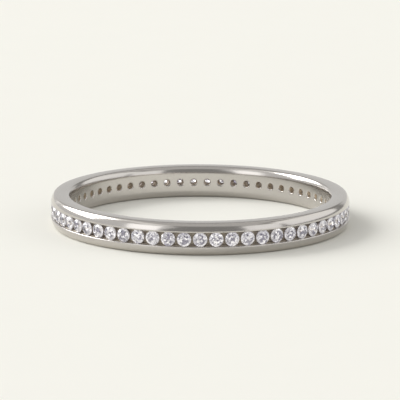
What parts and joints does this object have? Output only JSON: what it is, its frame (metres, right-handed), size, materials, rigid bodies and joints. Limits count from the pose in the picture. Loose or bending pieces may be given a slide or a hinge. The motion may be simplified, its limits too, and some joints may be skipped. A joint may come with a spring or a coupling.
{
  "type": "channel set band",
  "caption": "Full eternity ring in polished white metal: small round brilliants all round in a channel between two plain rails, open azure holes behind them and a comfort-rounded inside.",
  "frame": {"origin": "centre of the ring on the surface that it lies on", "axes": "+Z along the finger hole's axis, up from the side face that the ring lies on; -Y towards the stone at the front of the picture"},
  "size_m": [0.02, 0.02, 0.0021],
  "materials": {
    "white_metal": "mirror polished",
    "clear_stone": "cut and polished facets"
  },
  "bodies": {
    "root": {"band": "white_metal", "stones": "clear_stone"}
  },
  "joints": []
}
